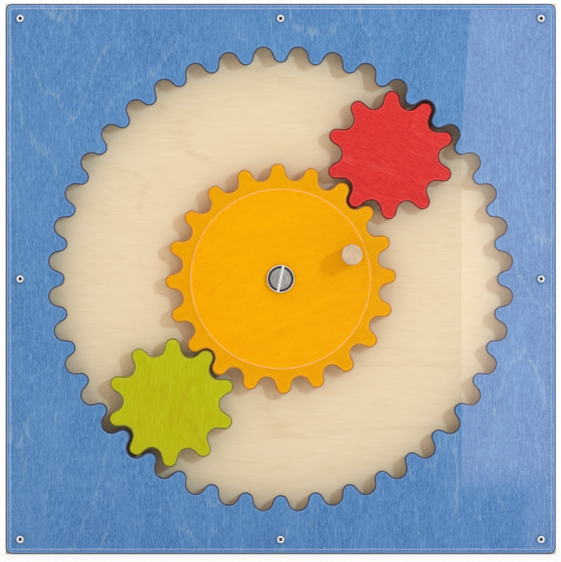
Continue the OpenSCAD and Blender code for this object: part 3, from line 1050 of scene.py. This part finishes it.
# %% Beech
BEECH, nodes, shader = new_material("beech")
coords = own_place(nodes)
turned = add(nodes, "ShaderNodeMapping", {"Vector": coords, "Rotation": (math.pi / 2, 0, 0)})
pores = add(nodes, "ShaderNodeTexVoronoi", {"Vector": coords, "Scale": 850, "Randomness": 1})
end_pore = 1 - Field(nodes, pores.outputs["Distance"]).between(0.12, 0.42)
fleck = noise(nodes, turned, stretch=16, scale=1300, detail=2).between(0.55, 0.75)
band = noise(nodes, turned, stretch=8, scale=260, detail=2).between(0.35, 0.65)
tone = blend(nodes, band, srgb(215, 189, 158), srgb(201, 172, 141))
tone = blend(nodes, fleck * 0.4, tone, srgb(168, 126, 90))
tone = blend(nodes, end_pore * 0.4, tone, srgb(170, 136, 106))
bump = add(nodes, "ShaderNodeBump", {"Height": end_pore * -1, "Strength": 0.3, "Distance": 0.05 * MM})
feed(nodes, shader, {"Base Color": tone, "Roughness": fleck * 0.2 + 0.45, "Normal": bump})
print("beech", BEECH.name)

# %% [markdown]
# ## Plastic
# Glides, bush and thrust washer are moulded from a natural white plastic that slides well on
# wood. A single flat colour would look like paper, so a faint mottle goes into its colour,
# roughness and bump.

# %% Plastic
PLASTIC, nodes, shader = new_material("glide_plastic")
mottle = noise(nodes, own_place(nodes), stretch=1, scale=320, detail=4)
tone = blend(nodes, mottle, srgb(222, 219, 208), srgb(236, 234, 226))
bump = add(nodes, "ShaderNodeBump", {"Height": mottle, "Strength": 0.2, "Distance": 0.02 * MM})
feed(nodes, shader, {"Base Color": tone, "Roughness": mottle * 0.2 + 0.4, "Normal": bump})
print("plastic", PLASTIC.name)

# %% [markdown]
# ## Gear set
# The teeth follow from the module, the pitch diameter that each tooth takes up. A rise is how far
# a tip stands past the pitch circle, in modules. Tips and valleys are arcs, a little wider in the
# valley than at the tip, so that the wheels roll with some play. The planets' places are read
# from their joints, and each wheel is turned until its teeth fit the valleys of the ring.

# %% Sizes of the teeth
MODULE = 8 * MM
SUN_TEETH = 20
PLANET_TEETH = 10
RING_TEETH = SUN_TEETH + 2 * PLANET_TEETH
TIP_CLEAR = 0.8 * MM
RING_CLEAR = 1.4 * MM
SUN_RISE = 0.475
PLANET_RISE = 0.85
TIP_ARC = 0.7 * MODULE
SUN_VALLEY = TIP_ARC + 0.1 * MODULE
PLANET_VALLEY = TIP_ARC + 0.15 * MODULE
RING_VALLEY = TIP_ARC + 0.14 * MODULE
CENTRES = MODULE * (SUN_TEETH + PLANET_TEETH) / 2
SUN_TIP = MODULE * (SUN_TEETH / 2 + SUN_RISE)
PLANET_TIP = MODULE * (PLANET_TEETH / 2 + PLANET_RISE)
SUN_ROOT = CENTRES - PLANET_TIP - TIP_CLEAR
PLANET_ROOT = CENTRES - SUN_TIP - TIP_CLEAR
RING_TIP = CENTRES + PLANET_ROOT + RING_CLEAR
RING_ROOT = CENTRES + PLANET_TIP + RING_CLEAR

joint_at = {joint["name"]: joint["pos_m"] for joint in frame["joints"]}
ring_pitch = 2 * math.pi / RING_TEETH
red_angle = math.atan2(joint_at["red_spin"][2], joint_at["red_spin"][0])
green_angle = math.atan2(joint_at["green_spin"][2], joint_at["green_spin"][0])


def valley_shift(angle):
    """How far the next valley of the ring lies past an angle."""
    return ring_pitch * (math.floor(angle / ring_pitch) + 0.5) - angle


def planet_turn(angle):
    """Turn of a planet whose tooth fits the ring's valley."""
    return angle + valley_shift(angle) * RING_TEETH / PLANET_TEETH


sun_turn = red_angle - valley_shift(red_angle) * RING_TEETH / SUN_TEETH + math.pi / SUN_TEETH
print("red at", round(math.degrees(red_angle), 2), "green at", round(math.degrees(green_angle), 2))

# %% [markdown]
# ## Ring board
# One sheet carries both the square outside and the forty inward teeth. Cutting a wheel's shape
# out of a finished board would leave its teeth sharp, so both outlines are swept with the same
# rounded edge before the face between them is filled.

# %% Ring board
RING_ARRIS = 1.8 * MM
RING_CORNER = 5 * MM
ring_back, ring_front = layer("ring_board")
ring_board = grow("ring_board_stained", RING, {
    "Width": width("ring_board"), "Corner": RING_CORNER, "Arris": RING_ARRIS,
    "Teeth": RING_TEETH, "Tip radius": RING_TIP, "Root radius": RING_ROOT, "Tip arc": TIP_ARC,
    "Valley arc": RING_VALLEY, "Side": -1.0, "Turn": 0.0,
    "Back": ring_back, "Front": ring_front, "Centre": (0, 0, 0), "Material": BLUE})
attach(ring_board, "panel")
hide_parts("ring_board")

# %% [markdown]
# ## Wheels
# The same tree makes all three, because only the number of teeth, the stain and the place differ.
# The sun is bored for its bush and for the peg, which is glued in and held by a screw from behind.
# The planets have a blind hole for the plug of their glide.

# %% Wheels
WHEEL_ARRIS = 1.9 * MM
SEAT_PLAY = 0.05 * MM
wheel_back, wheel_front = layer("sun_gear")


def wheel(name, material, teeth, tip, root, valley_arc, turn, centre):
    """A toothed wheel of the common thickness, turned to mesh."""
    return grow(name, WHEEL, {
        "Teeth": teeth, "Tip radius": tip, "Root radius": root, "Tip arc": TIP_ARC, "Valley arc": valley_arc,
        "Side": 1.0, "Turn": turn, "Back": wheel_back, "Front": wheel_front, "Arris": WHEEL_ARRIS,
        "Centre": (centre[0], 0, centre[2]), "Material": material})


def dress(piece, body, slot, *nodes):
    """Lets a piece ride on a body in place of its nodes. Its slot, the record's finish, is not used."""
    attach(piece, body)
    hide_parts(*nodes)


peg_low, peg_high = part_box("turning_peg")
peg_at = ((peg_low.x + peg_high.x) / 2, (peg_low.z + peg_high.z) / 2)
peg_r = (peg_high.x - peg_low.x) / 2
peg_back, peg_front = layer("turning_peg")
bush_r = width("sun_bush") / 2
PAST = 2 * MM
PLUG_R = 4 * MM
PLUG_ROOM = 1 * MM

sun = wheel("sun_wheel", ORANGE, SUN_TEETH, SUN_TIP, SUN_ROOT, SUN_VALLEY, sun_turn, (0, 0, 0))
drill(sun, plain_hole(bush_r + SEAT_PLAY, wheel_back - PAST, wheel_front + PAST), [(0, 0)])
drill(sun, plain_hole(peg_r + SEAT_PLAY, peg_back, wheel_front + PAST), [peg_at])
dress(sun, "sun", "orange_ply", "sun_gear")

red = wheel("red_wheel_stained", RED, PLANET_TEETH, PLANET_TIP, PLANET_ROOT, PLANET_VALLEY,
            planet_turn(red_angle), joint_at["red_spin"])
dress(red, "red_wheel", "red_ply", "red_planet")
green = wheel("green_wheel_stained", GREEN, PLANET_TEETH, PLANET_TIP, PLANET_ROOT, PLANET_VALLEY,
              planet_turn(green_angle), joint_at["green_spin"])
dress(green, "green_wheel", "green_ply", "green_planet")
for piece, name in ((red, "red"), (green, "green")):
    x, _, z = joint_at[name + "_spin"]
    plug_front = layer(name + "_glide")[1] + PLUG_ROOM
    drill(piece, plain_hole(PLUG_R + SEAT_PLAY, wheel_back - PAST, plug_front), [(x, z)])
print("wheels", sun.name, red.name, green.name)

# %% [markdown]
# ## Back board
# A square plate of birch plywood with one hole in the middle for the axle. The tree for plain
# boards makes it, and it is then drilled from behind for the bolt's well, the wall inserts and the
# countersunk screws that hold the blue board.

# %% Back board
back_back, back_front = layer("back_board")
AXLE_HOLE = 10.1 * MM
WELL_R = 10 * MM
WELL_DEPTH = layer("bolt_washer")[1]
INSERT_R = 5.05 * MM
INSERT_AT = 150 * MM
SCREW_AT = 189 * MM
back_board = grow("back_board_birch", BOARD, {
    "Width": width("back_board"), "Corner": 0.8 * MM, "Arris": 0.5 * MM, "Hole": AXLE_HOLE, "Hole steps": 64,
    "Back": back_back, "Front": back_front, "Centre": (0, 0, 0), "Material": BIRCH})
drill(back_board, plain_hole(WELL_R, -PAST, WELL_DEPTH), [(0, 0)])
insert_places = [(x * INSERT_AT, z * INSERT_AT) for x in (-1, 1) for z in (-1, 1)]
drill(back_board, plain_hole(INSERT_R, -PAST, back_front + PAST), insert_places)
board_screw_places = [
    (SCREW_AT * x, SCREW_AT * z) for a in (-1, 1) for b in (-0.5, 0.5) for x, z in ((a, b), (b, a))]
HEAD_R = 3.55 * MM
SHANK_R = 1.8 * MM
HEAD_SINK = 0.3 * MM
sunk = [(0, -PAST), (HEAD_R, -PAST), (HEAD_R, HEAD_SINK), (SHANK_R, HEAD_SINK + HEAD_R - SHANK_R),
        (SHANK_R, back_front + PAST), (0, back_front + PAST)]
drill(back_board, sunk, board_screw_places)
dress(back_board, "panel", "birch_ply", "back_board")

# %% [markdown]
# ## Cover
# The cover is the same kind of plate in acrylic, with a hole wide enough for a hand. A hair of air
# is left behind it, because two faces in one plane would flicker in the render. The faces that
# aren't flat get the finish of the edges, and eight countersinks are drilled last.

# %% Cover
cover_back, cover_front = layer("cover_sheet")
AIR = 0.04 * MM
cover_back += AIR
MOUTH_R = 4.3 * MM
COVER_SHANK_R = 1.55 * MM
HAND_HOLE = 129 * MM
COVER_ARRIS = 1.3 * MM
FLAT = 0.98
cover = grow("cover_clear", BOARD, {
    "Width": width("cover_sheet"), "Corner": 2 * MM, "Arris": COVER_ARRIS,
    "Hole": HAND_HOLE, "Hole steps": 256,
    "Back": cover_back, "Front": cover_front, "Centre": (0, 0, 0), "Material": CLEAR})
# The arris and wall faces get the edges' painted highlight and painted shade.
cover.data.materials.append(EDGE_PAINTED_LIGHT)
for face in cover.data.polygons:
    face.material_index = 1 if abs(face.normal.y) < FLAT else 0
cover_screw_places = [(SCREW_AT * x, SCREW_AT * z) for x in (-1, 0, 1) for z in (-1, 0, 1) if x or z]
cone = [(0, cover_back - PAST), (COVER_SHANK_R, cover_back - PAST),
        (COVER_SHANK_R, cover_front - MOUTH_R + COVER_SHANK_R), (MOUTH_R, cover_front),
        (MOUTH_R + PAST, cover_front + PAST), (0, cover_front + PAST)]
drill(cover, cone, cover_screw_places, finish=COUNTERSINK_SHADE)
dress(cover, "panel", "clear_sheet", "cover_sheet")

# %% [markdown]
# ## One screw
# Sixteen small countersunk screws hold the panel together: eight through the cover, eight from
# behind. A thread painted as bump would stay flat in the mesh, so one screw is turned with
# a real thread, a domed head and a tapering point, and its cross recess is cut arm by arm.

# %% One screw
SCREW_STEPS = 32
THREAD_ROWS = 8
# In shares of the head's radius: the dome's (radius, depth) pairs, the neck below the cone, and
# the recess as (depth, half length, half width) at its top and floor.
DOME = ((0, 0), (0.4, 0.012), (0.7, 0.045), (0.9, 0.09), (1, 0.16))
NECK = 0.34
RECESS = ((-0.3, 0.6, 0.27), (0.75, 0.3, 0.15))
# In shares of the shank's radius: the thread's pitch, core and rise, and the tapering point with
# its blunt end.
PITCH = 0.9
CORE = 0.68
RISE = 0.32
POINT = 2.2
BLUNT = 0.04


def screw_mesh(shank_r, head_r, length, depth, facing):
    """A countersunk screw on the Y axis: its head's face is at that depth, and facing is 1 for a
    screw seen from the front and -1 for one seen from behind."""
    pitch = PITCH * shank_r
    cone = head_r - shank_r
    rows = [(radius * head_r, along * head_r) for radius, along in DOME]
    rows.append((shank_r, cone + DOME[-1][1] * head_r))
    thread_from = cone + NECK * head_r
    count = int((length - thread_from) / pitch * THREAD_ROWS)
    shape = bmesh.new()
    rings = []
    rows += [(shank_r, thread_from + k * pitch / THREAD_ROWS) for k in range(count + 1)]
    for radius, along in rows:
        tapering = min(1, max(BLUNT, (length - along) / (POINT * shank_r)))
        ring = []
        for k in range(SCREW_STEPS if radius else 1):
            turn = k / SCREW_STEPS
            wave = abs((along / pitch - turn) % 1 - 0.5) * 2
            ridge = radius * (CORE + RISE * max(0, 2 * wave - 1))
            r = ridge * tapering if along >= thread_from else radius
            a = 2 * math.pi * turn
            y = facing * (along - depth * facing)
            ring.append(shape.verts.new((r * math.cos(a), y, r * math.sin(a))))
        rings.append(ring)
    rings.append([shape.verts.new((0, facing * (length - depth * facing), 0))])
    join_rings(shape, rings, SCREW_STEPS, True)
    return to_mesh(shape, "screw", ZINC)


def recess_mesh(head_r, depth, facing, turn):
    """One arm of the cross recess: a slot that narrows as it goes down, faced with near-black metal as
    painted shade.
    """
    shape = bmesh.new()
    cosine = math.cos(turn)
    sine = math.sin(turn)
    rings = []
    for along, long, wide in RECESS:
        y = facing * (along * head_r - depth * facing)
        corners = [(x * long * head_r, z * wide * head_r) for x, z in ((-1, -1), (1, -1), (1, 1), (-1, 1))]
        spun = [(x * cosine - z * sine, x * sine + z * cosine) for x, z in corners]
        rings.append([shape.verts.new((x, y, z)) for x, z in spun])
    shape.faces.new(rings[0])
    shape.faces.new(rings[1])
    for k in range(4):
        shape.faces.new([rings[0][k], rings[0][k - 1], rings[1][k - 1], rings[1][k]])
    return to_mesh(shape, "recess", RECESS_PAINTED_SHADE)


def one_screw(shank_r, head_r, length, depth, facing):
    """A finished screw, to be set down at its places."""
    screw = new_piece("one_screw", screw_mesh(shank_r, head_r, length, depth, facing))
    for turn in (0, math.pi / 2):
        cut(screw, recess_mesh(head_r, depth, facing, turn))
    return screw


print("screw ready")

# %% [markdown]
# ## Screws at their places
# Copying the screw by hand would leave all the recesses at one angle. A node tree sets it down at
# each place and turns it by a different amount, as a screwdriver leaves them, from a fixed seed.

# %% Screws at their places
COVER_SCREW = {"shank_r": 1.5 * MM, "head_r": 2.75 * MM, "length": 12 * MM}
BOARD_SCREW = {"shank_r": 1.75 * MM, "head_r": 3.5 * MM, "length": 22 * MM}
COVER_SEED = 4
BOARD_SEED = 9


def screws_tree():
    inputs = {"Places": "Geometry", "Screw": "Object", "Seed": "Int"}
    tree, get, end = new_group("GeometryNodeTree", "screws at places", inputs, {"Screws": "Geometry"})
    pattern = add(tree, "GeometryNodeObjectInfo", {"Object": get["Screw"]})
    spin = add(tree, "FunctionNodeRandomValue", {3: math.pi, "Seed": get["Seed"]}, data_type="FLOAT")
    turn = add(tree, "ShaderNodeCombineXYZ", {"Y": spin.outputs[1]})
    rotation = add(tree, "FunctionNodeEulerToRotation", {0: turn})
    placed = add(tree, "GeometryNodeInstanceOnPoints", {
        "Points": get["Places"], "Instance": pattern.outputs["Geometry"], "Rotation": rotation})
    feed(tree, end, {"Screws": add(tree, "GeometryNodeRealizeInstances", {"Geometry": placed})})
    return tree


SCREWS = screws_tree()


def screws(name, places, pattern, seed):
    """The pattern screw at every place, as one piece."""
    points = bpy.data.meshes.new(name)
    points.from_pydata([(x, 0, z) for x, z in places], [], [])
    piece = grow(name, SCREWS, {"Screw": pattern, "Seed": seed}, points)
    bpy.data.objects.remove(pattern)
    return piece


cover_pattern = one_screw(**COVER_SCREW, depth=layer("cover_screws")[1], facing=1)
cover_screws = screws("cover_screws_zinc", cover_screw_places, cover_pattern, COVER_SEED)
dress(cover_screws, "panel", "screw_steel", "cover_screws")
board_pattern = one_screw(**BOARD_SCREW, depth=layer("board_screws")[0], facing=-1)
board_screws = screws("board_screws_zinc", board_screw_places, board_pattern, BOARD_SEED)
dress(board_screws, "panel", "screw_steel", "board_screws")

# %% [markdown]
# ## Axle head
# The head that shows in the middle is the flange of the sleeve that the wheel turns on: a turned
# face with fine rings, a sloping edge and a milled slot. It is turned from its profile, with the
# lathe's ridges in the shape, and the slot is cut last so that its floor keeps its own finish. The
# rim round the edge gets a pale metal as painted highlight, the groove inside it a near-black metal
# as painted shade, and the slot's floor a near-white metal that is partly painted highlight.

# %% Axle sleeve
sleeve_back, sleeve_front = layer("axle_sleeve")
head_r = width("axle_sleeve") / 2
HEAD_H = 3 * MM
FACE_R = 7.8 * MM
SLEEVE_R = 5 * MM
BOLT_R = 3.05 * MM
BORE_FRONT = 19.9 * MM
RIDGE = RING_PITCH / 2
RIDGE_H = 0.1 * MM
RIM_W = 0.8 * MM
RIM_DROP = 0.8 * MM
GROOVE_DROP = 1.25 * MM
GROOVE_SLOPE = 0.1 * MM
SLOT_W = 1.8 * MM
SLOT_DEPTH = 1.4 * MM
SLOT_LEAN = math.radians(12)
ridges = int(FACE_R / RIDGE)
face = [(FACE_R - k * RIDGE, sleeve_front - (RIDGE_H if k % 2 else 0)) for k in range(ridges + 1)]
groove_front = sleeve_front - GROOVE_DROP
sleeve_profile = [
    (0, BORE_FRONT), (BOLT_R, BORE_FRONT), (BOLT_R, sleeve_back), (SLEEVE_R, sleeve_back),
    (SLEEVE_R, sleeve_front - HEAD_H), (head_r, sleeve_front - HEAD_H),
    *eased(head_r, sleeve_front - RIM_DROP, RIM_W / 2, math.pi),
    (head_r - RIM_W, groove_front), (FACE_R + GROOVE_SLOPE, groove_front), *face, (0, sleeve_front)]
sleeve = new_piece("axle_sleeve_turned", turned_mesh("axle_sleeve", sleeve_profile, steps=128, smooth=False))
# The rim faces get the painted highlight, the groove faces the painted shade.
for material in (TURNED, HEAD_RIM_HIGHLIGHT, HEAD_GROOVE_SHADE):
    sleeve.data.materials.append(material)
for face in sleeve.data.polygons:
    radius = math.hypot(face.center.x, face.center.z)
    if -face.center.y > sleeve_front - 2 * GROOVE_DROP and radius > FACE_R:
        face.material_index = 1 if radius > head_r - RIM_W else 2


def slot_mesh():
    """A straight bar that mills the slot."""
    shape = bmesh.new()
    size = Matrix.Diagonal((SLOT_W, 2 * SLOT_DEPTH, 3 * head_r, 1))
    lean = Matrix.Rotation(SLOT_LEAN, 4, "Y")
    bmesh.ops.create_cube(shape, size=1, matrix=Matrix.Translation((0, -sleeve_front, 0)) @ lean @ size)
    return to_mesh(shape, "slot", MILLED_PAINTED_BRIGHT)


cut(sleeve, slot_mesh())
dress(sleeve, "panel", "turned_steel", "axle_sleeve")
print("axle head", round(2 * head_r / MM, 1), "mm wide,", len(sleeve.data.polygons), "faces")

# %% [markdown]
# ## Peg
# A beech dowel, sawn to length and eased at its free end with a few strokes of sandpaper. A
# cylinder with a bevel would do, but the turned profile keeps the dowel's glued end sharp.

# %% Peg
PEG_EASE = 1 * MM
peg_edge = eased(peg_r, peg_front, PEG_EASE, math.pi / 2)
peg_profile = [(0, peg_back), (peg_r, peg_back), *peg_edge, (0, peg_front)]
peg = new_piece("peg_beech", turned_mesh("peg", peg_profile, [peg_at], steps=96))
peg.data.materials.append(BEECH)
dress(peg, "sun", "beech", "turning_peg")
print("peg", round(2 * peg_r / MM, 1), "mm thick")

# %% [markdown]
# ## Pieces that keep their construction
# The bolt, washers, bush, glides, peg screw and inserts are simple turned pieces whose shape is
# already right, so they are not built again and only need their finish.

# %% Finish of the small pieces
FINISH = {
    "axle_bolt": ZINC, "axle_washer": ZINC, "bolt_washer": ZINC, "lock_washer": ZINC, "peg_screw": ZINC,
    "wall_inserts": BRASS, "thrust_washer": PLASTIC, "sun_bush": PLASTIC, "red_glide": PLASTIC,
    "green_glide": PLASTIC,
}
for node, material in FINISH.items():
    mesh = frame["nodes"][node].data
    mesh.materials.clear()
    mesh.materials.append(material)
print("finished", len(FINISH), "small pieces")
